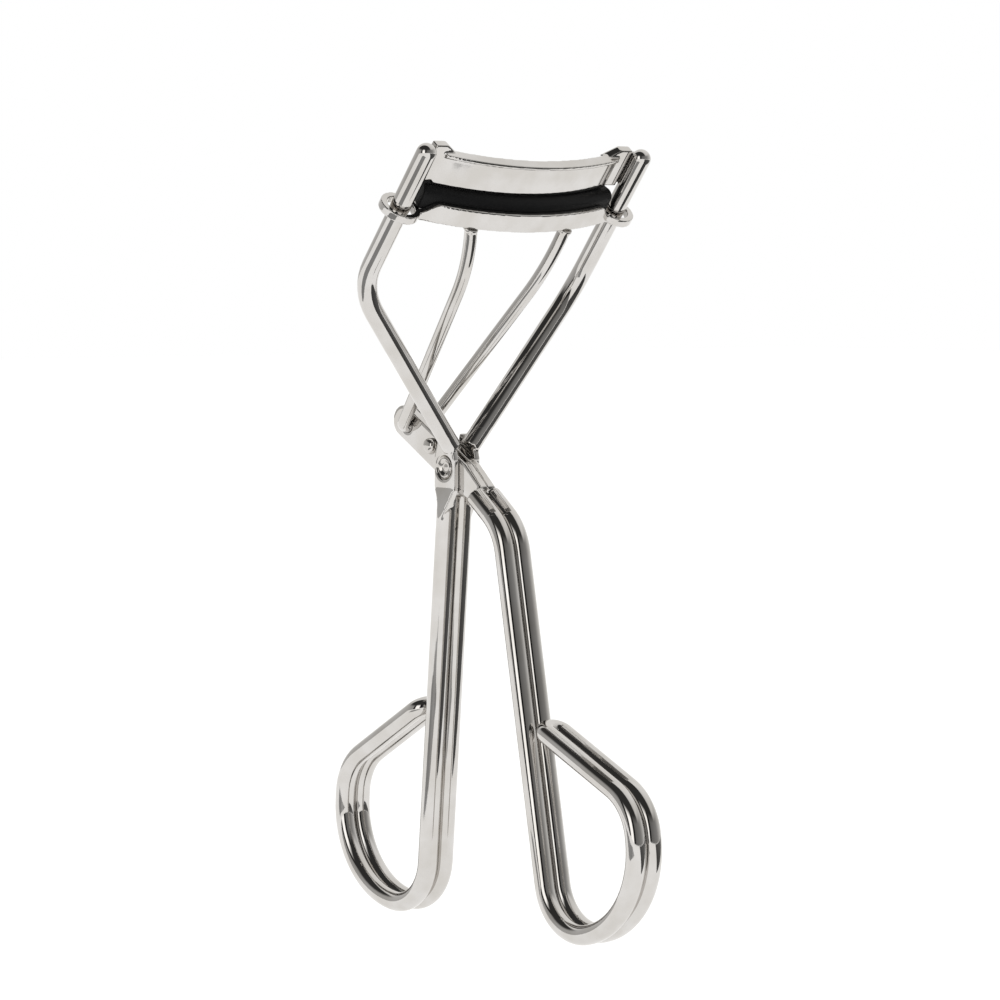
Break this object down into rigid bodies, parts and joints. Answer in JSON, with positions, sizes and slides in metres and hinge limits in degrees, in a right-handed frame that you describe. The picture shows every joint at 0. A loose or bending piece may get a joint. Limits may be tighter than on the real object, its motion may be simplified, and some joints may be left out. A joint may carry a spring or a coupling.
{
  "type": "eyelash curler",
  "caption": "Hand-held eyelash curler: two bent-wire handles with finger loops pivot to close a padded curved jaw against a fixed upper plate.",
  "frame": {"origin": "centre of the thumb loop on the fixed handle, midway between the two strands", "axes": "+Z runs from the finger loops up to the jaws, +Y along the jaws and every hinge, +X from the fixed handle towards the moving lever's handle"},
  "size_m": [0.0596, 0.0398, 0.0984],
  "materials": {
    "bright_plate": "mirror-bright nickel plating on steel",
    "black_rubber": "smooth satin moulded rubber"
  },
  "bodies": {
    "frame": {"frame_wire": "bright_plate", "upper_jaw": "bright_plate", "pivot_rivet": "bright_plate"},
    "lever": {"lever_wire": "bright_plate", "stop_rivet": "bright_plate"},
    "carriage": {"yoke_wire": "bright_plate", "lower_jaw": "bright_plate", "lash_pad": "black_rubber"}
  },
  "joints": [
    {"name": "handle_pivot", "type": "hinge", "parent": "frame", "child": "lever", "pos_m": [0.0129, 0, 0.0445], "axis": [0, -1, 0], "range_deg": [0, 32]},
    {"name": "yoke_hinge", "type": "hinge", "parent": "lever", "child": "carriage", "pos_m": [0.0045, 0, 0.0495], "axis": [0, -1, 0], "range_deg": [-28.6, 0]}
  ],
  "couplings": [
    {"joint": "yoke_hinge", "follows": "handle_pivot", "ratio": -0.889}
  ]
}
